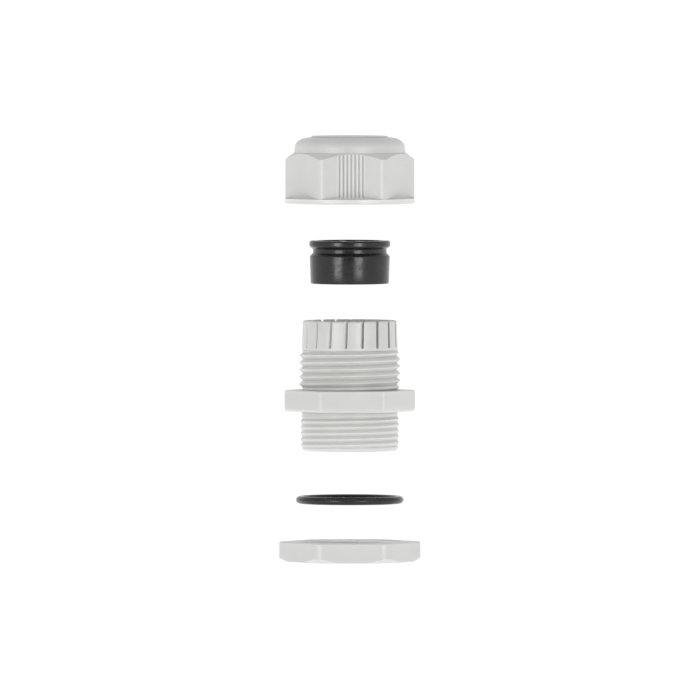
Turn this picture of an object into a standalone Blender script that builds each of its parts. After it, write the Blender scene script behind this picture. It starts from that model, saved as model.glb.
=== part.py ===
"""Cable gland M25 x 1.5, laid out along its axis in the order in which it is assembled.

From the top: dome nut, rubber seal insert, gland body with its ring of clamping claws, rubber O-ring, lock nut.
+Z runs along the gland's axis towards the dome nut. The origin is on the axis, in the plane of the flange's
underside, which is the face that seats on the panel. The front is -Y, and angles are counted from it towards +X.
"""

import math

import bmesh
import bpy
from mathutils import Vector

MM = 0.001
SEGMENTS = 36

# Hexagons: flange and dome nut share one spanner size, and every hexagon is turned alike.
HEX_TURN = math.radians(2.7)
GRIP_APOTHEM = 14.5 * MM
FLANGE_CORNER = 1.4 * MM
DOME_NUT_CORNER = 2.5 * MM

# Gland body.
FLANGE_HEIGHT = 5.4 * MM
FLANGE_EDGE = 0.6 * MM
SEAT_RADIUS = 13.0 * MM
SEAT_RELIEF = 0.15 * MM
UPPER_TOP = 15.8 * MM
UPPER_PITCH = 1.8 * MM
UPPER_CREST = 12.8 * MM
UPPER_ROOT = 12.0 * MM
UPPER_LEAD = 10.95 * MM
UPPER_RIM = 12.1 * MM
NECK_RADIUS = 12.1 * MM
NECK_HEIGHT = 1.1 * MM
PANEL_END = -9.95 * MM
PANEL_PITCH = 1.5 * MM
PANEL_CREST = 12.5 * MM
PANEL_ROOT = 12.1 * MM
PANEL_LEAD = -3.75 * MM
BODY_BORE = 9.25 * MM
POCKET_RADIUS = 10.4 * MM
POCKET_FLOOR = 13.8 * MM

# Claws: slits of SLIT_WIDTH that lean SLIT_LEAN away from the radius, measured at SLIT_RADIUS.
CLAW_COUNT = 18
CLAW_FOOT = 16.1 * MM
CLAW_TIP = 23.0 * MM
CLAW_FOOT_RADIUS = 12.15 * MM
CLAW_TIP_RADIUS = 11.87 * MM
CLAW_INSIDE = 11.0 * MM
CLAW_NIB_RADIUS = 10.6 * MM
CLAW_TIP_ROUND = 0.5 * MM
HINGE_RADIUS = 11.5 * MM
HINGE_Z = 15.95 * MM
SLIT_RADIUS = 12.0 * MM
SLIT_LEAN = math.radians(35.5)
SLIT_WIDTH = 0.62 * MM
FIRST_SLIT = math.radians(-4.5)

# Dome nut, with heights above its rim's underside.
DOME_NUT_Z = 52.6 * MM
RIM_RADIUS = 16.48 * MM
RIM_HEIGHT = 1.3 * MM
COVE_RADIUS = 1.9 * MM
DOME_BASE_RADIUS = 14.08 * MM
DOME_BASE = 12.9 * MM
SHOULDER_SLOPE = math.radians(36)
DOME_CENTRE = 13.8 * MM
DOME_TOP = 16.7 * MM
DOME_FLAT_RADIUS = 9.8 * MM
DOME_SIDE_RADIUS = 14.02 * MM
DOME_POWER = 2.3
CABLE_HOLE = 9.3 * MM
NUT_CREST = 12.95 * MM
NUT_ROOT = 13.4 * MM
NUT_THREAD_TOP = 9.6 * MM
CONE_FOOT = 12.0 * MM
CONE_FOOT_RADIUS = 12.6 * MM
CONE_TOP = 14.9 * MM
CONE_TOP_RADIUS = 10.45 * MM
CEILING = 15.6 * MM

# Seal insert, with heights above its lower end.
SEAL_Z = 32.3 * MM
SEAL_HEIGHT = 10.9 * MM
SEAL_BORE = 8.25 * MM
SEAL_BORE_LIP = 0.3 * MM

# O-ring.
O_RING_Z = -22.4 * MM
O_RING_RADIUS = 12.65 * MM
O_RING_SECTION = 1.0 * MM
O_RING_STEPS = 12

# Lock nut, with heights above its underside.
LOCK_NUT_Z = -38.05 * MM
LOCK_NUT_HEIGHT = 5.1 * MM
LOCK_NUT_APOTHEM = 16.0 * MM
LOCK_NUT_CORNER = 3.5 * MM
LOCK_NUT_FACE = 16.6 * MM
LOCK_NUT_CHAMFER = 0.9 * MM
LOCK_NUT_EDGE = 0.35 * MM
LOCK_NUT_CREST = 12.75 * MM
LOCK_NUT_ROOT = 13.3 * MM
LOCK_NUT_MOUTH = 13.5 * MM


def clear_scene():
    for obj in list(bpy.data.objects):
        bpy.data.objects.remove(obj, do_unlink=True)


def material(name, colour, roughness):
    made = bpy.data.materials.new(name)
    made.use_nodes = True
    shader = made.node_tree.nodes["Principled BSDF"]
    shader.inputs["Base Color"].default_value = (*colour, 1)
    shader.inputs["Roughness"].default_value = roughness
    shader.inputs["Metallic"].default_value = 0
    made.diffuse_color = (*colour, 1)
    return made


def polar(angle, radius, z):
    return Vector((radius * math.sin(angle), -radius * math.cos(angle), z))


def add_object(name, bm, surface, z=0.0):
    mesh = bpy.data.meshes.new(name)
    bm.to_mesh(mesh)
    bm.free()
    mesh.materials.append(surface)
    mesh.shade_smooth()
    mesh.set_sharp_from_angle(angle=math.radians(35))
    obj = bpy.data.objects.new(name, mesh)
    obj.location.z = z
    bpy.context.collection.objects.link(obj)
    return obj


def ring_solid(name, rows, surface, z):
    """A closed ring. Each row gives (radius, height) at an angle, and the rows run down the outside, in under the
    lower end and up the inside, so that the faces point out."""
    bm = bmesh.new()
    angles = [HEX_TURN + math.tau * i / SEGMENTS for i in range(SEGMENTS)]
    grid = [[bm.verts.new(polar(a, *row(a))) for a in angles] for row in rows]
    for upper, lower in zip(grid, grid[1:] + grid[:1]):
        for i in range(SEGMENTS):
            j = (i + 1) % SEGMENTS
            bm.faces.new((upper[i], lower[i], lower[j], upper[j]))
    return add_object(name, bm, surface, z)


def circle(radius, z):
    return lambda angle: (radius, z)


def circles(*points):
    return [circle(radius * MM, z * MM) for radius, z in points]


def hexagon_radius(angle, apothem, corner):
    """How far a hexagon with rounded corners reaches at an angle."""
    from_flat = (angle - HEX_TURN + math.pi / 6) % (math.pi / 3) - math.pi / 6
    tangent = math.atan((apothem - corner) * math.tan(math.pi / 6) / apothem)
    if abs(from_flat) <= tangent:
        return apothem / math.cos(from_flat)
    centre = (apothem - corner) / math.cos(math.pi / 6)
    from_corner = math.pi / 6 - abs(from_flat)
    return centre * math.cos(from_corner) + math.sqrt(corner**2 - (centre * math.sin(from_corner)) ** 2)


def hexagon(apothem, corner, z, most=math.inf, least=0.0):
    """A row on a hexagon, cut back to the radius most and filled out to the radius least."""
    return lambda angle: (max(least, min(most, hexagon_radius(angle, apothem, corner))), z)


def thread(root, crest, pitch, lead, low, high, steps):
    """Rows of a right-hand thread from low up to high that runs out over half a pitch at both ends."""
    count = round((high - low) / pitch * steps)

    def row(z):
        strength = min(1.0, (z - low) / pitch * 2, (high - z) / pitch * 2)

        def place(angle):
            wave = 0.5 + 0.5 * math.cos(math.tau * (z - lead) / pitch - angle)
            return root + (crest - root) * strength * wave, z

        return place

    return [row(low + (high - low) * i / count) for i in range(count + 1)]


def gland_body(surface):
    """Upper thread, six-sided flange, O-ring neck, panel thread, and the bore with the seal's pocket."""
    rows = [circle(UPPER_RIM, UPPER_TOP)]
    rows += thread(UPPER_ROOT, UPPER_CREST, UPPER_PITCH, UPPER_LEAD, FLANGE_HEIGHT, UPPER_TOP - 0.2 * MM, 5)[::-1]
    rows += [
        hexagon(GRIP_APOTHEM - FLANGE_EDGE, FLANGE_CORNER, FLANGE_HEIGHT),
        hexagon(GRIP_APOTHEM, FLANGE_CORNER, FLANGE_HEIGHT - FLANGE_EDGE),
        hexagon(GRIP_APOTHEM, FLANGE_CORNER, FLANGE_EDGE),
        hexagon(GRIP_APOTHEM - FLANGE_EDGE, FLANGE_CORNER, 0),
        circle(SEAT_RADIUS, 0),
        circle(SEAT_RADIUS - 0.1 * MM, SEAT_RELIEF),
        circle(NECK_RADIUS, SEAT_RELIEF),
        circle(NECK_RADIUS, -NECK_HEIGHT),
    ]
    rows += thread(PANEL_ROOT, PANEL_CREST, PANEL_PITCH, PANEL_LEAD, PANEL_END + 0.4 * MM, -NECK_HEIGHT, 5)[-2::-1]
    rows += [
        circle(PANEL_ROOT - 0.3 * MM, PANEL_END),
        circle(BODY_BORE + 0.3 * MM, PANEL_END),
        circle(BODY_BORE, PANEL_END + 0.4 * MM),
        circle(BODY_BORE, POCKET_FLOOR),
        circle(POCKET_RADIUS, POCKET_FLOOR),
        circle(POCKET_RADIUS, UPPER_TOP),
    ]
    return ring_solid("gland_body", rows, surface, 0)


def slit_shift(radius):
    """The angle by which a leaning slit has moved on, from SLIT_RADIUS in to this radius."""
    across = SLIT_RADIUS * math.sin(SLIT_LEAN)
    depth = SLIT_RADIUS * math.cos(SLIT_LEAN) - math.sqrt(radius**2 - across**2)
    return math.asin(depth * math.sin(SLIT_LEAN) / radius)


def claw_outline():
    """The claw's section as (radius, z): up the outside, over the tip, and down past the nib that grips the seal."""
    return [
        (CLAW_FOOT_RADIUS, CLAW_FOOT),
        (CLAW_TIP_RADIUS, CLAW_TIP - CLAW_TIP_ROUND),
        (CLAW_TIP_RADIUS - 0.3 * CLAW_TIP_ROUND, CLAW_TIP - 0.3 * CLAW_TIP_ROUND),
        (CLAW_TIP_RADIUS - CLAW_TIP_ROUND, CLAW_TIP),
        (CLAW_NIB_RADIUS + 0.15 * MM, CLAW_TIP),
        (CLAW_NIB_RADIUS, CLAW_TIP - 0.15 * MM),
        (CLAW_NIB_RADIUS, CLAW_TIP - 1.0 * MM),
        (CLAW_INSIDE, CLAW_TIP - 1.6 * MM),
        (CLAW_INSIDE, CLAW_FOOT),
    ]


def claw_mesh():
    """One claw, with its hinge at the mesh's own origin and its outer face to the front."""
    bm = bmesh.new()
    half = math.pi / CLAW_COUNT
    columns = []
    for side in (-1, 0, 1):
        column = []
        for radius, z in claw_outline():
            reach = half - SLIT_WIDTH / 2 / radius
            angle = side * reach + slit_shift(radius) - slit_shift(HINGE_RADIUS)
            column.append(bm.verts.new(polar(angle, radius, z) - polar(0, HINGE_RADIUS, HINGE_Z)))
        columns.append(column)
    count = len(columns[0])
    for left, right in zip(columns, columns[1:]):
        for i in range(count):
            j = (i + 1) % count
            bm.faces.new((left[i], right[i], right[j], left[j]))
    bm.faces.new(columns[0])
    bm.faces.new(reversed(columns[-1]))
    return bm


def claws(surface):
    """The ring of claws. Each one's origin is on its hinge line, at its root."""
    first = FIRST_SLIT + math.pi / CLAW_COUNT + slit_shift(HINGE_RADIUS)
    for number in range(CLAW_COUNT):
        turn = first + math.tau * number / CLAW_COUNT
        claw = add_object(f"claw_{number + 1:02d}", claw_mesh(), surface)
        claw.location = polar(turn, HINGE_RADIUS, HINGE_Z)
        claw.rotation_euler.z = turn


def dome_rows():
    """The dome's rounded side, a superellipse from its flat top down to where it stands on the shoulder."""
    steps = 6
    rows = []
    for step in range(1, steps + 1):
        turn = math.pi / 2 * step / steps
        out = math.sin(turn) ** (2 / DOME_POWER)
        up = max(0.0, math.cos(turn)) ** (2 / DOME_POWER)
        radius = DOME_FLAT_RADIUS + (DOME_SIDE_RADIUS - DOME_FLAT_RADIUS) * out
        rows.append(circle(radius, DOME_CENTRE + (DOME_TOP - DOME_CENTRE) * up))
    return rows + [circle(DOME_BASE_RADIUS, DOME_BASE)]


def grip_rows():
    """The nut's hexagon, coned off at the shoulder and flowing out to the rim in a cove."""
    corner_reach = hexagon_radius(HEX_TURN + math.pi / 6, GRIP_APOTHEM, DOME_NUT_CORNER)
    fall = (corner_reach - DOME_BASE_RADIUS) * math.tan(SHOULDER_SLOPE)
    rows = []
    for step in range(1, 5):
        drop = fall * step / 4
        most = DOME_BASE_RADIUS + drop / math.tan(SHOULDER_SLOPE)
        rows.append(hexagon(GRIP_APOTHEM, DOME_NUT_CORNER, DOME_BASE - drop, most=most))
    for step in range(4):
        turn = math.pi / 2 * step / 3
        least = GRIP_APOTHEM + COVE_RADIUS * (1 - math.cos(turn))
        z = RIM_HEIGHT + COVE_RADIUS * (1 - math.sin(turn))
        rows.append(hexagon(GRIP_APOTHEM, DOME_NUT_CORNER, z, least=least))
    return rows


def dome_nut(surface):
    """Domed cap nut: round rim, six-sided grip, dome with the cable hole, inner thread and the claws' cone."""
    rows = [circle(CABLE_HOLE + 0.25 * MM, DOME_TOP), circle(DOME_FLAT_RADIUS, DOME_TOP)]
    rows += dome_rows() + grip_rows()
    rows += [
        circle(RIM_RADIUS, RIM_HEIGHT - 0.1 * MM),
        circle(RIM_RADIUS, 0.3 * MM),
        circle(RIM_RADIUS - 0.3 * MM, 0),
        circle(NUT_ROOT + 0.3 * MM, 0),
    ]
    rows += thread(NUT_ROOT, NUT_CREST, UPPER_PITCH, 0, 0.3 * MM, NUT_THREAD_TOP, 4)
    rows += [
        circle(NUT_ROOT, CONE_FOOT - 0.8 * MM),
        circle(CONE_FOOT_RADIUS, CONE_FOOT),
        circle(CONE_TOP_RADIUS, CONE_TOP),
        circle(CONE_TOP_RADIUS, CEILING),
        circle(CABLE_HOLE, CEILING),
        circle(CABLE_HOLE, DOME_TOP - 0.25 * MM),
    ]
    return ring_solid("dome_nut", rows, surface, DOME_NUT_Z)


def seal_insert(surface):
    """Rubber sleeve with a collar, the groove that the claws' nibs close into, and a slightly tapered body."""
    top = SEAL_HEIGHT / MM
    rows = circles(
        (9.9, top),
        (10.17, top - 0.2),
        (10.26, top - 0.6),
        (10.23, top - 1.3),
        (9.95, top - 1.7),
        (9.4, top - 2.05),
        (9.33, top - 2.3),
        (9.33, top - 3.05),
        (9.5, top - 3.35),
        (9.98, top - 3.7),
        (10.12, top - 4.05),
        (9.92, 0.4),
        (9.65, 0),
    )
    rows += [
        circle(SEAL_BORE + SEAL_BORE_LIP, 0),
        circle(SEAL_BORE, SEAL_BORE_LIP),
        circle(SEAL_BORE, SEAL_HEIGHT - SEAL_BORE_LIP),
        circle(SEAL_BORE + SEAL_BORE_LIP, SEAL_HEIGHT),
    ]
    return ring_solid("seal_insert", rows, surface, SEAL_Z)


def o_ring(surface):
    rows = []
    for step in range(O_RING_STEPS):
        turn = math.tau * step / O_RING_STEPS
        radius = O_RING_RADIUS + O_RING_SECTION * math.sin(turn)
        rows.append(circle(radius, O_RING_SECTION * math.cos(turn)))
    return ring_solid("o_ring", rows, surface, O_RING_Z)


def lock_nut(surface):
    """Six-sided lock nut, rounded along its top edge and coned off below, with its thread running through."""

    def side(z, most):
        return hexagon(LOCK_NUT_APOTHEM, LOCK_NUT_CORNER, z, most=most)

    widest = hexagon_radius(HEX_TURN + math.pi / 6, LOCK_NUT_APOTHEM, LOCK_NUT_CORNER)
    edge = LOCK_NUT_EDGE
    cone = LOCK_NUT_CHAMFER
    rows = [
        hexagon(LOCK_NUT_APOTHEM - edge, LOCK_NUT_CORNER, LOCK_NUT_HEIGHT),
        side(LOCK_NUT_HEIGHT - edge, widest),
        side(cone, widest),
        side(0.5 * cone, (LOCK_NUT_FACE + widest) / 2),
        side(0.2 * cone, LOCK_NUT_FACE),
        side(0, LOCK_NUT_FACE - 0.8 * MM),
        circle(LOCK_NUT_MOUTH, 0),
    ]
    low, high = 0.2 * MM, LOCK_NUT_HEIGHT - 0.2 * MM
    rows += thread(LOCK_NUT_ROOT, LOCK_NUT_CREST, PANEL_PITCH, 0, low, high, 4)
    rows.append(circle(LOCK_NUT_MOUTH, LOCK_NUT_HEIGHT))
    return ring_solid("lock_nut", rows, surface, LOCK_NUT_Z)


def main():
    clear_scene()
    plastic = material("light_grey_plastic", (0.66, 0.66, 0.64), 0.45)
    rubber = material("black_rubber", (0.025, 0.025, 0.026), 0.5)
    gland_body(plastic)
    claws(plastic)
    dome_nut(plastic)
    seal_insert(rubber)
    o_ring(rubber)
    lock_nut(plastic)


main()
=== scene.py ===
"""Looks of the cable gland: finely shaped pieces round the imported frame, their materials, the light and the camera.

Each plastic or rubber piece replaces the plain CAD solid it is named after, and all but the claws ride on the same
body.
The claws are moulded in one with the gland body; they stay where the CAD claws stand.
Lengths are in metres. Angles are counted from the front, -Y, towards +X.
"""

import cmath
import math

import bpy
import numpy as np
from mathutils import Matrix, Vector


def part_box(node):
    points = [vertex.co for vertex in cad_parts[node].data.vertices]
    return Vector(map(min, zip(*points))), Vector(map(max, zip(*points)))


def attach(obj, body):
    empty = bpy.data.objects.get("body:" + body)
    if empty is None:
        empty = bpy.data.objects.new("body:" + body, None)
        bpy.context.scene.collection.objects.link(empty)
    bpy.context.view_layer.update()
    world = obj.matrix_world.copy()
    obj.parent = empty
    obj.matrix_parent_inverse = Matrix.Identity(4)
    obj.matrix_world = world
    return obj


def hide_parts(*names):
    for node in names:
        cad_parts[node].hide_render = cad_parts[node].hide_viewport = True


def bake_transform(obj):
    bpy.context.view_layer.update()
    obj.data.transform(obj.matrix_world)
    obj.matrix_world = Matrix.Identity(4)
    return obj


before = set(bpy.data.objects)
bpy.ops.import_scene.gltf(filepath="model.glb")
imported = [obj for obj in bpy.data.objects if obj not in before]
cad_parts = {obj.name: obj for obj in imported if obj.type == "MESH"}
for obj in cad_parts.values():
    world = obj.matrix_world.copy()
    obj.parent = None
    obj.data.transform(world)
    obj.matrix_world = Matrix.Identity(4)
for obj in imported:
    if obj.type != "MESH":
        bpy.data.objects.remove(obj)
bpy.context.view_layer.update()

MM = 0.001

# Every hexagon is turned alike, so that one flat faces the front.
HEX_TURN = math.radians(2.7)
HEX_STEP = math.pi / 3
GRIP_APOTHEM = 14.5 * MM

# Gland body, with heights above the flange's underside.
BODY_SEGMENTS = 480
FLANGE_HEIGHT = 5.4 * MM
FLANGE_CORNER = 1.4 * MM
FLANGE_TOP_EDGE = 0.4 * MM
FLANGE_LOW_EDGE = 0.65 * MM
UPPER_PITCH = 1.8 * MM
UPPER_LEAD = 10.95 * MM
UPPER_CREST = 12.8 * MM
UPPER_ROOT = 11.95 * MM
UPPER_END = 15.42 * MM
COLLAR_RADIUS = 12.13 * MM
COLLAR_GROOVE = 0.35 * MM
NECK_RADIUS = 12.1 * MM
NECK_HEIGHT = 1.1 * MM
PANEL_PITCH = 1.5 * MM
PANEL_LEAD = -3.75 * MM
PANEL_CREST = 12.5 * MM
PANEL_ROOT = 12.05 * MM
PANEL_END_RADIUS = 11.75 * MM
PANEL_CHAMFER = 0.45 * MM
BODY_BORE = 9.25 * MM
BORE_CHAMFER = 0.3 * MM
POCKET_RADIUS = 10.4 * MM
POCKET_FLOOR = 13.8 * MM

# Claws: the slits between them lean away from the radius.
CLAW_COUNT = 18
CLAW_FOOT = 16.1 * MM
CLAW_SUNK = 0.4 * MM
CLAW_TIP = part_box("claw_01")[1].z
CLAW_TIP_RADIUS = 11.87 * MM
CLAW_INSIDE = 11.0 * MM
CLAW_NIB_RADIUS = 10.6 * MM
CLAW_TIP_ROUND = 0.45 * MM
NIB_EDGE = 0.6 * MM
SLIT_RADIUS = 12.0 * MM
SLIT_LEAN = math.radians(35.5)
SLIT_WIDTH = 0.68 * MM
SLIT_EDGE = 0.08 * MM
FIRST_SLIT = math.radians(-4.5)

# Dome nut, with heights above its rim's underside.
NUT_SEGMENTS = 720
NUT_CORNER = 2.5 * MM
RIM_HEIGHT = 1.3 * MM
RIM_EDGE = 0.3 * MM
COVE_RADIUS = 1.9 * MM
DOME_BASE = 12.9 * MM
DOME_BASE_RADIUS = 14.08 * MM
DOME_CENTRE = 13.8 * MM
DOME_SIDE_RADIUS = 14.0 * MM
DOME_FLAT_RADIUS = 9.8 * MM
DOME_POWER = 2.3
SHOULDER_SLOPE = math.radians(36)
SHOULDER_DEPTH = 2.4 * MM
CABLE_HOLE = 9.3 * MM
HOLE_EDGE = 0.35 * MM
GROOVE_COUNT = 7
GROOVE_PITCH = 1.0 * MM
GROOVE_DEPTH = 0.36 * MM
GROOVE_SHIFT = -0.3 * MM
NUT_CREST = 12.95 * MM
NUT_ROOT = 13.4 * MM
NUT_THREAD_TOP = 9.6 * MM
CONE_FOOT = 12.0 * MM
CONE_FOOT_RADIUS = 12.6 * MM
CONE_TOP = 14.9 * MM
CONE_TOP_RADIUS = 10.45 * MM
CEILING = 15.6 * MM

# Lock nut, with heights above its underside.
LOCK_SEGMENTS = 480
LOCK_APOTHEM = 16.0 * MM
LOCK_CORNER = 3.5 * MM
LOCK_TOP_EDGE = 0.5 * MM
LOCK_FACE = 16.3 * MM
LOCK_CONE_SLOPE = math.radians(30)
LOCK_CONE_HEIGHT = 1.3 * MM
LOCK_CREST = 12.75 * MM
LOCK_ROOT = 13.3 * MM
LOCK_MOUTH = 13.5 * MM

# Rubber pieces.
RUBBER_SEGMENTS = 256
SEAL_BORE = 8.25 * MM
O_RING_STEPS = 40
FLASH_HEIGHT = 0.03 * MM

# Curvature at which the painted highlight on a ridge or the painted shade in a crevice shows fully, as a length.
RELIEF_SCALE = 0.4 * MM

# Camera.
LENS = 1500
SENSOR = 36
VIEW_WIDTH = 177.1 * MM
VIEW_CENTRE = 15.5 * MM
VIEW_SHIFT = 0.0003
ELEVATION = math.radians(1.7)

# Material: painted shade in a crevice and painted highlight on a ridge, as factors on the base colour against 1 on a
# plain surface.
CREVICE_PAINTED_SHADE = 0.66
RIDGE_PAINTED_HIGHLIGHT = 1.18

# Light: radiance of the surroundings by height, and the softboxes.
SKY_LEVELS = ((0.0, 1.25), (0.45, 1.25), (0.52, 1.1), (0.7, 0.8), (1.0, 0.46))
FRONT_DARK = (0.93, 0.965, 0.1)
FLOOR_Z = -120 * MM
FLOOR_RADIUS = 2.4
FLOOR_SEGMENTS = 96
FLOOR_GLOW = 0.55
BACKDROP_LEVEL = 1.05

# Softboxes level with the gland, which only its reflections show: (name, azimuth in degrees).
STRIPS = (("left_strip", -34.5), ("right_strip", 26))
STRIP_DISTANCE = 1.2
STRIP_SIZE = (0.44, 0.6)
STRIP_RADIANCE = 6.5

# Softboxes above the gland.
TOP_AZIMUTHS = (-55, 0, 55)
TOP_ELEVATION = 42
TOP_DISTANCE = 1.6
TOP_SIZE = (0.6, 0.4)
TOP_RADIANCE = 1.6


# ------------------------------------------------------------------ shapes


def around(segments):
    return HEX_TURN + np.arange(segments) * math.tau / segments


def spread(first, last, step):
    """Heights from first to last, no further apart than step."""
    return np.linspace(first, last, max(2, math.ceil(abs(last - first) / step) + 1))


def smooth_min(a, b, blend):
    """The lesser of two radii, with the edge where they meet rounded over about blend."""
    share = np.clip(0.5 + 0.5 * (b - a) / blend, 0, 1)
    return b + (a - b) * share - blend * share * (1 - share)


def smooth_max(a, b, blend):
    return -smooth_min(-a, -b, blend)


def from_flat(angle):
    """The angle from the middle of the nearest flat."""
    return (angle - HEX_TURN + HEX_STEP / 2) % HEX_STEP - HEX_STEP / 2


def hexagon(angle, apothem, corner):
    """How far a hexagon with rounded corners reaches at each angle."""
    off = np.abs(from_flat(angle))
    centre = (apothem - corner) / math.cos(HEX_STEP / 2)
    off_corner = HEX_STEP / 2 - off
    across = np.minimum(centre * np.sin(off_corner), corner)
    rounded = centre * np.cos(off_corner) + np.sqrt(corner**2 - across**2)
    tangent = math.atan((apothem - corner) * math.tan(HEX_STEP / 2) / apothem)
    return np.where(off <= tangent, apothem / np.cos(off), rounded)


def thread_rows(angle, root, crest, pitch, lead, low, high, per_pitch=16):
    """Rows of a right-hand thread from low up to high that runs out over half a pitch at both ends."""
    rows = []
    for z in spread(low, high, pitch / per_pitch):
        fade = min(1.0, (z - low) / pitch * 2, (high - z) / pitch * 2)
        turn = ((z - lead) / pitch - angle / math.tau + 0.5) % 1 - 0.5
        flank = 1 - 2 * np.abs(turn)
        wave = 0.4 * flank + 0.6 * flank * flank * (3 - 2 * flank)
        rows.append((root + (crest - root) * fade * wave, z))
    return rows


def edge_rows(outline, inset, z, drop_sign):
    """Rows of a quarter-round edge between a flat face at z and the upright side that follows the outline.

    With a negative inset and drop_sign -1 the rows rise above z instead, into a lip as tall as the inset."""
    rows = []
    for turn in np.linspace(0, math.pi / 2, 7):
        step_in = inset * (1 - math.sin(turn))
        drop = inset * (1 - math.cos(turn))
        rows.append((outline - step_in, z + drop_sign * drop))
    return rows


def rounded_loop(corners, radii, steps=5, between=1):
    """The closed outline through the corners, given as complex numbers, with each corner rounded to its radius.

    Each rounded corner has the same count of points, and so has each straight stretch after it."""
    outline = []
    for i, here in enumerate(corners):
        before = corners[i - 1] - here
        after = corners[(i + 1) % len(corners)] - here
        before /= abs(before)
        after /= abs(after)
        half = abs(cmath.phase(after / before)) / 2
        middle = (before + after) / abs(before + after)
        centre = here + middle * radii[i] / math.sin(half)
        start = here + before * radii[i] / math.tan(half) - centre
        end = here + after * radii[i] / math.tan(half) - centre
        sweep = cmath.phase(end / start)
        outline.append([centre + start * cmath.exp(1j * sweep * k / steps) for k in range(steps + 1)])
    points = []
    for arc, following in zip(outline, outline[1:] + outline[:1]):
        points += arc
        points += [arc[-1] + (following[0] - arc[-1]) * k / between for k in range(1, between)]
    return points


def profile_rows(points):
    """Rows for a round ring through (radius, height, rounding) corners in millimetres."""
    corners = [complex(radius, z) * MM for radius, z, rounding in points]
    loop = rounded_loop(corners, [rounding * MM for radius, z, rounding in points], between=3)
    return [(point.real, point.imag) for point in loop]


def ring_mesh(name, rows, angle, base=0.0):
    """A closed ring. The rows run down the outside, in under the lower end and up the inside."""
    count = len(angle)
    radius = np.array([np.broadcast_to(r, count) for r, z in rows])
    height = np.array([np.broadcast_to(z, count) for r, z in rows]) + base
    points = np.stack([radius * np.sin(angle), -radius * np.cos(angle), height], axis=-1).reshape(-1, 3)
    index = np.arange(len(rows) * count).reshape(len(rows), count)
    lower = np.roll(index, -1, axis=0)
    faces = np.stack([index, lower, np.roll(lower, -1, axis=1), np.roll(index, -1, axis=1)], axis=-1)
    mesh = bpy.data.meshes.new(name)
    mesh.from_pydata(points.tolist(), [], faces.reshape(-1, 4).tolist())
    store_relief(mesh, points.reshape(len(rows), count, 3))
    return mesh


def store_relief(mesh, grid):
    """Stores on each vertex how ridge-like (up to 1) or crevice-like (down to -1) the surface is there, which the
    plastic's painted shade and painted highlight are read from.
    """
    around_step = np.roll(grid, -1, axis=1) - np.roll(grid, 1, axis=1)
    down_step = np.roll(grid, -1, axis=0) - np.roll(grid, 1, axis=0)
    normal = np.cross(down_step, around_step)
    normal /= np.linalg.norm(normal, axis=2, keepdims=True) + 1e-12
    curvature = 0
    for axis, step in ((0, 1), (0, -1), (1, 1), (1, -1)):
        edge = np.roll(grid, step, axis=axis) - grid
        curvature = curvature - (edge * normal).sum(2) / ((edge**2).sum(2) + 1e-12) / 2
    relief = np.tanh(curvature * RELIEF_SCALE)
    mesh.attributes.new("relief", "FLOAT", "POINT").data.foreach_set("value", relief.ravel())


def add_piece(mesh, surface, sharp=40):
    mesh.materials.append(surface)
    mesh.shade_smooth()
    mesh.set_sharp_from_angle(angle=math.radians(sharp))
    piece = bpy.data.objects.new(mesh.name, mesh)
    bpy.context.collection.objects.link(piece)
    return piece


def add_riding(mesh, surface, node):
    """A piece that replaces one CAD node and rides on the body of the same name."""
    piece = add_piece(mesh, surface)
    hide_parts(node)
    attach(piece, node)
    return piece


# ------------------------------------------------------------------ plastic pieces


def grip_grooves(angle):
    """Depth of the upright grip grooves, which every second flat of the dome nut has."""
    on_grooved_flat = np.floor((angle - HEX_TURN + HEX_STEP / 2) / HEX_STEP) % 2 == 0
    along = GRIP_APOTHEM * np.tan(from_flat(angle)) - GROOVE_SHIFT
    wave = (0.5 + 0.5 * np.cos(math.tau * along / GROOVE_PITCH)) ** 1.5
    inside = np.abs(along) < GROOVE_COUNT / 2 * GROOVE_PITCH
    return GROOVE_DEPTH * wave * (on_grooved_flat & inside)


def grip_radius(angle, z):
    """The dome nut's side: the shoulder's cone, the hexagon with its grooves, and the cove that flows to the rim."""
    grooves = grip_grooves(angle)
    cone = DOME_BASE_RADIUS + (DOME_BASE - z) / math.tan(SHOULDER_SLOPE)
    side = smooth_min(cone, hexagon(angle, GRIP_APOTHEM, NUT_CORNER) - grooves, 0.22 * MM)
    above_rim = z - RIM_HEIGHT
    if above_rim < COVE_RADIUS:
        rise = 1 - above_rim / COVE_RADIUS
        cove = GRIP_APOTHEM + COVE_RADIUS * (1 - math.sqrt(max(0.0, 1 - rise**2)))
    else:
        cove = GRIP_APOTHEM - (above_rim - COVE_RADIUS)
    cove_grooves = grooves * min(1.0, above_rim / (0.5 * MM))
    return smooth_max(side, cove - cove_grooves, 0.12 * MM)


def dome_rows(top):
    """The dome's rounded side, a superellipse from its flat top down to the shoulder."""
    rows = []
    for turn in np.linspace(0, math.pi / 2, 26):
        out = math.sin(turn) ** (2 / DOME_POWER)
        up = max(0.0, math.cos(turn)) ** (2 / DOME_POWER)
        radius = DOME_FLAT_RADIUS + (DOME_SIDE_RADIUS - DOME_FLAT_RADIUS) * out
        rows.append((radius, DOME_CENTRE + (top - DOME_CENTRE) * up))
    for share in (0.25, 0.5, 0.75, 0.92):
        radius = DOME_SIDE_RADIUS + (DOME_BASE_RADIUS - DOME_SIDE_RADIUS) * share
        rows.append((radius, DOME_CENTRE + (DOME_BASE - DOME_CENTRE) * share))
    return rows


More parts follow.
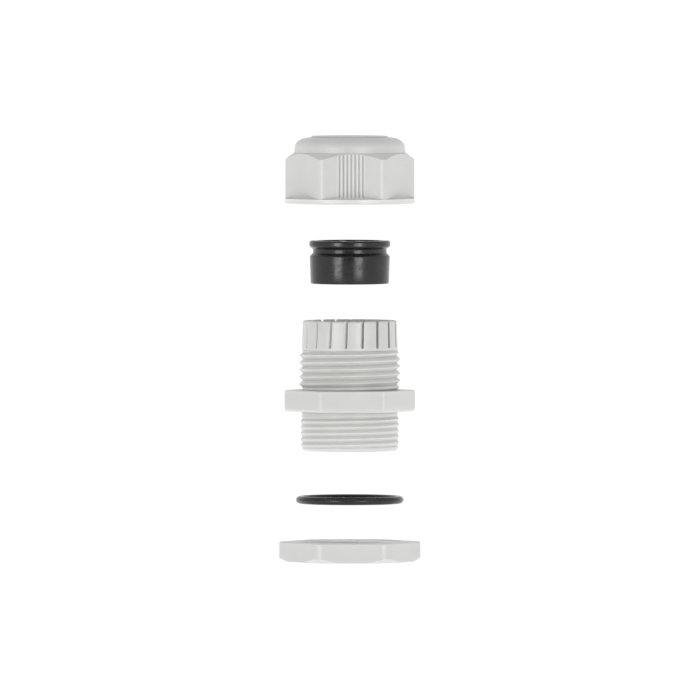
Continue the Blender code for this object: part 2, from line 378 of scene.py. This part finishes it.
def dome_nut_mesh():
    """The cap nut. Round the cable hole its rows form a lip that stands HOLE_EDGE above the CAD solid's top."""
    low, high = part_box("dome_nut")
    top = high.z - low.z
    rim = (high.x - low.x) / 2
    angle = around(NUT_SEGMENTS)
    shoulder_low = DOME_BASE - SHOULDER_DEPTH
    cove_top = RIM_HEIGHT + 1.2 * COVE_RADIUS
    heights = np.concatenate(
        [
            spread(DOME_BASE, shoulder_low, 0.08 * MM),
            spread(shoulder_low, cove_top, 0.8 * MM)[1:],
            spread(cove_top, RIM_HEIGHT, 0.09 * MM)[1:],
        ]
    )
    rows = edge_rows(CABLE_HOLE + HOLE_EDGE, -HOLE_EDGE, top, -1)[::-1]
    rows += dome_rows(top)
    rows += [(grip_radius(angle, z), z) for z in heights]
    rows += edge_rows(rim, 0.06 * MM, RIM_HEIGHT, -1)
    rows += edge_rows(rim, RIM_EDGE, 0, 1)[::-1]
    rows += [(NUT_ROOT + 0.5 * MM, 0), (NUT_ROOT + 0.3 * MM, 0.05 * MM)]
    rows += thread_rows(angle, NUT_ROOT, NUT_CREST, UPPER_PITCH, 0, 0.4 * MM, NUT_THREAD_TOP, 10)
    rows += [
        (NUT_ROOT, CONE_FOOT - 0.8 * MM),
        (CONE_FOOT_RADIUS, CONE_FOOT),
        (CONE_TOP_RADIUS, CONE_TOP),
        (CONE_TOP_RADIUS, CEILING),
        (CABLE_HOLE, CEILING),
    ]
    return ring_mesh("dome_nut_moulding", rows, angle, low.z)


def flange_rows(angle):
    outline = hexagon(angle, GRIP_APOTHEM, FLANGE_CORNER)
    rows = edge_rows(outline, FLANGE_TOP_EDGE, FLANGE_HEIGHT, -1)
    rows += [(outline, z) for z in (0.8 * FLANGE_HEIGHT, 0.3 * FLANGE_HEIGHT)]
    return rows + edge_rows(outline, FLANGE_LOW_EDGE, 0, 1)[::-1]


def gland_body_mesh():
    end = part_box("gland_body")[0].z
    angle = around(BODY_SEGMENTS)
    rows = [
        (COLLAR_RADIUS, CLAW_FOOT),
        (COLLAR_RADIUS, UPPER_END + 0.12 * MM),
        (COLLAR_RADIUS, UPPER_END + 0.08 * MM),
        (COLLAR_RADIUS - COLLAR_GROOVE, UPPER_END + 0.05 * MM),
        (COLLAR_RADIUS - COLLAR_GROOVE, UPPER_END + 0.02 * MM),
    ]
    thread = (UPPER_ROOT, UPPER_CREST, UPPER_PITCH, UPPER_LEAD, FLANGE_HEIGHT, UPPER_END)
    rows += thread_rows(angle, *thread)[::-1]
    rows += flange_rows(angle)
    rows += [(NECK_RADIUS + 0.15 * MM, 0), (NECK_RADIUS, -0.15 * MM), (NECK_RADIUS, -NECK_HEIGHT)]
    thread = (PANEL_ROOT, PANEL_CREST, PANEL_PITCH, PANEL_LEAD, end + PANEL_CHAMFER, -NECK_HEIGHT)
    rows += thread_rows(angle, *thread)[-2::-1]
    rows += [
        (PANEL_END_RADIUS, end + 0.08 * MM),
        (PANEL_END_RADIUS - 0.08 * MM, end),
        (BODY_BORE + BORE_CHAMFER, end),
        (BODY_BORE, end + BORE_CHAMFER),
        (BODY_BORE, POCKET_FLOOR - BORE_CHAMFER),
        (BODY_BORE + BORE_CHAMFER, POCKET_FLOOR),
        (POCKET_RADIUS, POCKET_FLOOR),
        (POCKET_RADIUS, CLAW_FOOT - 0.1 * MM),
        (POCKET_RADIUS + 0.1 * MM, CLAW_FOOT),
    ]
    return ring_mesh("gland_body_moulding", rows, angle)


def lock_nut_mesh():
    low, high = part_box("lock_nut")
    height = high.z - low.z
    angle = around(LOCK_SEGMENTS)
    outline = hexagon(angle, LOCK_APOTHEM, LOCK_CORNER)
    rows = edge_rows(outline, LOCK_TOP_EDGE, height, -1)
    rows += [(outline, 0.6 * height), (outline, 0.4 * height)]
    for z in spread(LOCK_CONE_HEIGHT, 0, 0.07 * MM):
        cone = LOCK_FACE + z / math.tan(LOCK_CONE_SLOPE)
        flat_edge = outline - 0.15 * MM * max(0.0, 1 - z / (0.15 * MM))
        rows.append((smooth_min(cone, flat_edge, 0.2 * MM), z))
    rows += [(LOCK_MOUTH, 0)]
    thread = (LOCK_ROOT, LOCK_CREST, PANEL_PITCH, 0, 0.2 * MM, height - 0.2 * MM)
    rows += thread_rows(angle, *thread, 12)
    rows += [(LOCK_MOUTH, height)]
    return ring_mesh("lock_nut_moulding", rows, angle, low.z)


# ------------------------------------------------------------------ claws


def slit_shift(radius):
    """The angle by which a leaning slit has moved on, from SLIT_RADIUS in to this radius."""
    across = SLIT_RADIUS * math.sin(SLIT_LEAN)
    depth = SLIT_RADIUS * math.cos(SLIT_LEAN) - math.sqrt(radius**2 - across**2)
    return math.asin(depth * math.sin(SLIT_LEAN) / radius)


def claw_levels():
    """(height, inner radius, outer radius, half the slit's width) of each level, from the sunk root up."""
    half_slit = SLIT_WIDTH / 2
    foot_radius = COLLAR_RADIUS
    levels = [(CLAW_FOOT - CLAW_SUNK, CLAW_INSIDE, foot_radius - 0.05 * MM, 0.02 * MM)]
    for turn in np.linspace(0, math.pi / 2, 6):
        z = CLAW_FOOT + half_slit * (1 - math.cos(turn))
        levels.append((z, CLAW_INSIDE, foot_radius, max(0.02 * MM, half_slit * math.sin(turn))))
    taper = (CLAW_TIP_RADIUS - foot_radius) / (CLAW_TIP - CLAW_TIP_ROUND - CLAW_FOOT)
    slope_low, slope_high = CLAW_TIP - 1.6 * MM, CLAW_TIP - 1.0 * MM
    upright = list(spread(CLAW_FOOT + 2 * half_slit, slope_low, 0.7 * MM))
    upright += list(spread(slope_low, slope_high, 0.2 * MM)[1:]) + [CLAW_TIP - CLAW_TIP_ROUND - 0.05 * MM]
    for z in upright:
        share = min(1.0, max(0.0, (z - slope_low) / (slope_high - slope_low)))
        inside = CLAW_INSIDE + (CLAW_NIB_RADIUS - CLAW_INSIDE) * share
        levels.append((z, inside, foot_radius + taper * (z - CLAW_FOOT), half_slit))
    for turn in np.linspace(0, math.pi / 2, 7):
        z = CLAW_TIP - CLAW_TIP_ROUND * (1 - math.sin(turn))
        outside = CLAW_TIP_RADIUS - CLAW_TIP_ROUND * (1 - math.cos(turn))
        near_tip = max(0.0, 1 - (CLAW_TIP - z) / NIB_EDGE)
        edge = NIB_EDGE * (1 - math.sqrt(max(0.0, 1 - near_tip**2)))
        levels.append((z, CLAW_NIB_RADIUS + edge, outside, half_slit + 0.12 * edge))
    return levels


def claw_mesh(name, turn):
    """One claw as a stack of rounded outlines, each given as distance along the arc and radius."""
    half = math.pi / CLAW_COUNT
    points = []
    for z, inside, outside, half_slit in claw_levels():
        wide, narrow = half * outside - half_slit, half * inside - half_slit
        corners = [complex(-wide, outside), complex(-narrow, inside), complex(narrow, inside), complex(wide, outside)]
        for point in rounded_loop(corners, [SLIT_EDGE] * 4, steps=3, between=6):
            angle = turn + point.real / point.imag + slit_shift(point.imag)
            points.append((point.imag * math.sin(angle), -point.imag * math.cos(angle), z))
    count = len(points) // len(claw_levels())
    faces = [tuple(range(count))[::-1], tuple(range(len(points) - count, len(points)))]
    for level in range(len(claw_levels()) - 1):
        for i in range(count):
            j = (i + 1) % count
            low, high = level * count, (level + 1) * count
            faces.append((low + i, low + j, high + j, high + i))
    mesh = bpy.data.meshes.new(name)
    mesh.from_pydata(points, [], faces)
    return mesh


def add_claws(surface):
    for number in range(CLAW_COUNT):
        turn = FIRST_SLIT + math.pi / CLAW_COUNT + math.tau * number / CLAW_COUNT
        node = f"claw_{number + 1:02d}"
        claw = add_piece(claw_mesh(f"{node}_blade", turn), surface)
        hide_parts(node)
        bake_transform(claw)


# ------------------------------------------------------------------ rubber pieces


def seal_insert_mesh():
    """Sleeve with a rounded collar, the groove that the claws close into, and a slightly tapered body."""
    low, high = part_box("seal_insert")
    top = (high.z - low.z) / MM
    bore = SEAL_BORE / MM
    outline = [
        (bore, top, 0.25),
        (9.95, top, 0.12),
        (10.26, top - 0.35, 0.3),
        (10.26, top - 1.4, 0.3),
        (9.33, top - 2.15, 0.25),
        (9.33, top - 3.1, 0.25),
        (10.14, top - 3.95, 0.3),
        (9.91, 0, 0.3),
        (bore, 0, 0.25),
    ]
    return ring_mesh("seal_insert_rubber", profile_rows(outline), around(RUBBER_SEGMENTS), low.z)


def o_ring_mesh():
    """A round ring, with the fine flash line of its mould round the outside and the inside."""
    low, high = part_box("o_ring")
    section = (high.z - low.z) / 2
    radius = (high.x - low.x) / 2 - section
    rows = []
    for step in range(O_RING_STEPS):
        turn = math.tau * step / O_RING_STEPS
        flash = FLASH_HEIGHT * max(0.0, 1 - abs(math.cos(turn)) * 8)
        reach = section - FLASH_HEIGHT + flash
        rows.append((radius + reach * math.sin(turn), reach * math.cos(turn)))
    return ring_mesh("o_ring_rubber", rows, around(RUBBER_SEGMENTS), (low.z + high.z) / 2)


# ------------------------------------------------------------------ materials


class Nodes:
    """Adds and links shader nodes of one material."""

    def __init__(self, name):
        self.material = bpy.data.materials.new(name)
        self.material.use_nodes = True
        self.tree = self.material.node_tree
        self.shader = self.tree.nodes["Principled BSDF"]
        self.place = self.add("ShaderNodeTexCoord").outputs["Object"]

    def add(self, kind, **settings):
        node = self.tree.nodes.new(kind)
        for name, value in settings.items():
            setattr(node, name, value)
        return node

    def link(self, output, target):
        self.tree.links.new(output, target)

    def noise(self, size, detail):
        """Noise whose features are about size metres across."""
        node = self.add("ShaderNodeTexNoise")
        node.inputs["Scale"].default_value = 1 / size
        node.inputs["Detail"].default_value = detail
        self.link(self.place, node.inputs["Vector"])
        return node.outputs["Fac"]

    def ramp(self, value, low, high, first=0.3, last=0.7):
        """Colour or grey level that goes from low to high as value goes from first to last."""
        node = self.add("ShaderNodeValToRGB")
        for element, place, colour in zip(node.color_ramp.elements, (first, last), (low, high)):
            element.position = place
            element.color = (*colour, 1) if isinstance(colour, tuple) else (colour, colour, colour, 1)
        self.link(value, node.inputs["Fac"])
        return node.outputs["Color"]

    def painted_relief_light(self):
        """Grey level of painted shade, darker in crevices, and of painted highlight, lighter on ridges."""
        relief = self.add("ShaderNodeAttribute", attribute_name="relief")
        node = self.add("ShaderNodeMapRange")
        node.inputs["From Min"].default_value = -1
        node.inputs["To Min"].default_value = CREVICE_PAINTED_SHADE
        node.inputs["To Max"].default_value = RIDGE_PAINTED_HIGHLIGHT
        self.link(relief.outputs["Fac"], node.inputs["Value"])
        return node.outputs["Result"]

    def multiply(self, a, b):
        node = self.add("ShaderNodeMix", data_type="RGBA", blend_type="MULTIPLY")
        node.inputs["Factor"].default_value = 1
        self.link(a, node.inputs["A"])
        self.link(b, node.inputs["B"])
        return node.outputs["Result"]

    def bump(self, height, depth, normal=None):
        node = self.add("ShaderNodeBump")
        node.inputs["Distance"].default_value = depth
        self.link(height, node.inputs["Height"])
        if normal:
            self.link(normal, node.inputs["Normal"])
        return node.outputs["Normal"]


def plastic():
    """Light grey moulded polyamide: a fine matt grain, faint cloudy mottling and slow swells left by the mould, with
    painted shade in its crevices and a painted highlight on its ridges.
    """
    made = Nodes("light_grey_plastic_moulded")
    cloud = made.ramp(made.noise(5 * MM, 3), (0.652, 0.651, 0.633), (0.678, 0.677, 0.660))
    speck = made.ramp(made.noise(0.35 * MM, 2), 0.975, 1.0)
    # The base colour carries painted shade in crevices and a painted highlight on ridges.
    made.link(made.multiply(made.multiply(cloud, speck), made.painted_relief_light()), made.shader.inputs["Base Color"])
    made.link(made.ramp(made.noise(2.5 * MM, 3), 0.34, 0.42), made.shader.inputs["Roughness"])
    swell = made.bump(made.noise(8 * MM, 1), 0.012 * MM)
    grain = made.bump(made.noise(0.14 * MM, 2), 0.004 * MM, swell)
    made.link(grain, made.shader.inputs["Normal"])
    made.shader.inputs["IOR"].default_value = 1.5
    return made.material


def rubber():
    """Black rubber with a satin mould finish, slightly uneven, with a trace of talc."""
    made = Nodes("black_rubber_satin")
    base = made.ramp(made.noise(3 * MM, 3), (0.006, 0.006, 0.007), (0.013, 0.013, 0.014))
    made.link(base, made.shader.inputs["Base Color"])
    made.link(made.ramp(made.noise(1.1 * MM, 4), 0.15, 0.30), made.shader.inputs["Roughness"])
    uneven = made.bump(made.noise(1.8 * MM, 2), 0.02 * MM)
    grain = made.bump(made.noise(0.1 * MM, 2), 0.002 * MM, uneven)
    made.link(grain, made.shader.inputs["Normal"])
    made.shader.inputs["IOR"].default_value = 1.42
    return made.material


# ------------------------------------------------------------------ studio


def add_floor():
    """A pale floor that glows like a light table, which keeps the underside of the gland bright."""
    turns = [math.tau * i / FLOOR_SEGMENTS for i in range(FLOOR_SEGMENTS)]
    corners = [(FLOOR_RADIUS * math.sin(turn), FLOOR_RADIUS * math.cos(turn), FLOOR_Z) for turn in turns]
    mesh = bpy.data.meshes.new("floor")
    mesh.from_pydata(corners, [], [tuple(range(FLOOR_SEGMENTS))[::-1]])
    made = Nodes("pale_floor")
    made.link(made.ramp(made.noise(0.4, 3), 0.86, 0.9), made.shader.inputs["Base Color"])
    made.shader.inputs["Roughness"].default_value = 0.9
    made.shader.inputs["Emission Color"].default_value = (1, 1, 1, 1)
    made.shader.inputs["Emission Strength"].default_value = FLOOR_GLOW
    mesh.materials.append(made.material)
    floor = bpy.data.objects.new("floor", mesh)
    bpy.context.collection.objects.link(floor)


def add_softbox(name, azimuth, elevation, distance, size, radiance):
    """An area light that faces the gland from an angle round it and above it."""
    width, height = size
    light = bpy.data.lights.new(name, "AREA")
    light.shape = "RECTANGLE"
    light.size = width
    light.size_y = height
    light.energy = radiance * math.pi * width * height
    lamp = bpy.data.objects.new(name, light)
    across, up = math.radians(azimuth), math.radians(elevation)
    back = Vector((math.sin(across) * math.cos(up), -math.cos(across) * math.cos(up), math.sin(up)))
    lamp.location = back * distance + Vector((0, 0, VIEW_CENTRE))
    lamp.rotation_mode = "QUATERNION"
    lamp.rotation_quaternion = back.to_track_quat("Z", "Y")
    lamp.visible_camera = False
    bpy.context.collection.objects.link(lamp)
    return lamp


def add_lights():
    for name, azimuth in STRIPS:
        strip = add_softbox(name, azimuth, 0, STRIP_DISTANCE, STRIP_SIZE, STRIP_RADIANCE)
        strip.visible_diffuse = False
    for azimuth in TOP_AZIMUTHS:
        add_softbox(f"top_{azimuth}", azimuth, TOP_ELEVATION, TOP_DISTANCE, TOP_SIZE, TOP_RADIANCE)


def make_world():
    """Surroundings that are white to look at. As light, they are darker overhead and straight in front."""
    world = bpy.data.worlds.new("studio")
    world.use_nodes = True
    bpy.context.scene.world = world
    tree = world.node_tree
    add, link = tree.nodes.new, tree.links.new
    tree.nodes.clear()
    split = add("ShaderNodeSeparateXYZ")
    link(add("ShaderNodeTexCoord").outputs["Generated"], split.inputs["Vector"])
    height = add("ShaderNodeMapRange")
    height.inputs["From Min"].default_value = -1
    link(split.outputs["Z"], height.inputs["Value"])
    sky = add("ShaderNodeValToRGB")
    elements = sky.color_ramp.elements
    while len(elements) < len(SKY_LEVELS):
        elements.new(0.5)
    for element, (place, level) in zip(elements, SKY_LEVELS):
        element.position = place
        element.color = (level, level, level, 1)
    link(height.outputs["Result"], sky.inputs["Fac"])
    front = add("ShaderNodeMapRange")
    front.interpolation_type = "SMOOTHSTEP"
    front.inputs["From Min"].default_value = -FRONT_DARK[0]
    front.inputs["From Max"].default_value = -FRONT_DARK[1]
    front.inputs["To Min"].default_value = 1
    front.inputs["To Max"].default_value = FRONT_DARK[2]
    link(split.outputs["Y"], front.inputs["Value"])
    light = add("ShaderNodeBackground")
    link(sky.outputs["Color"], light.inputs["Color"])
    link(front.outputs["Result"], light.inputs["Strength"])
    white = add("ShaderNodeBackground")
    white.inputs["Color"].default_value = (1, 1, 1, 1)
    white.inputs["Strength"].default_value = BACKDROP_LEVEL
    mix = add("ShaderNodeMixShader")
    link(add("ShaderNodeLightPath").outputs["Is Camera Ray"], mix.inputs["Fac"])
    link(light.outputs["Background"], mix.inputs[1])
    link(white.outputs["Background"], mix.inputs[2])
    link(mix.outputs["Shader"], add("ShaderNodeOutputWorld").inputs["Surface"])


def add_camera():
    data = bpy.data.cameras.new("camera")
    data.lens = LENS
    data.sensor_width = SENSOR
    data.shift_x = VIEW_SHIFT
    data.clip_end = 100
    camera = bpy.data.objects.new("camera", data)
    back = Vector((0, -math.cos(ELEVATION), math.sin(ELEVATION)))
    camera.location = Vector((0, 0, VIEW_CENTRE)) + back * (VIEW_WIDTH * LENS / SENSOR)
    camera.rotation_mode = "QUATERNION"
    camera.rotation_quaternion = (-back).to_track_quat("-Z", "Y")
    bpy.context.collection.objects.link(camera)
    bpy.context.scene.camera = camera


def main():
    grey, black = plastic(), rubber()
    add_riding(dome_nut_mesh(), grey, "dome_nut")
    add_riding(gland_body_mesh(), grey, "gland_body")
    add_riding(lock_nut_mesh(), grey, "lock_nut")
    add_claws(grey)
    add_riding(seal_insert_mesh(), black, "seal_insert")
    add_riding(o_ring_mesh(), black, "o_ring")
    add_floor()
    make_world()
    add_lights()
    add_camera()
    bpy.context.scene.view_settings.view_transform = "Standard"


main()
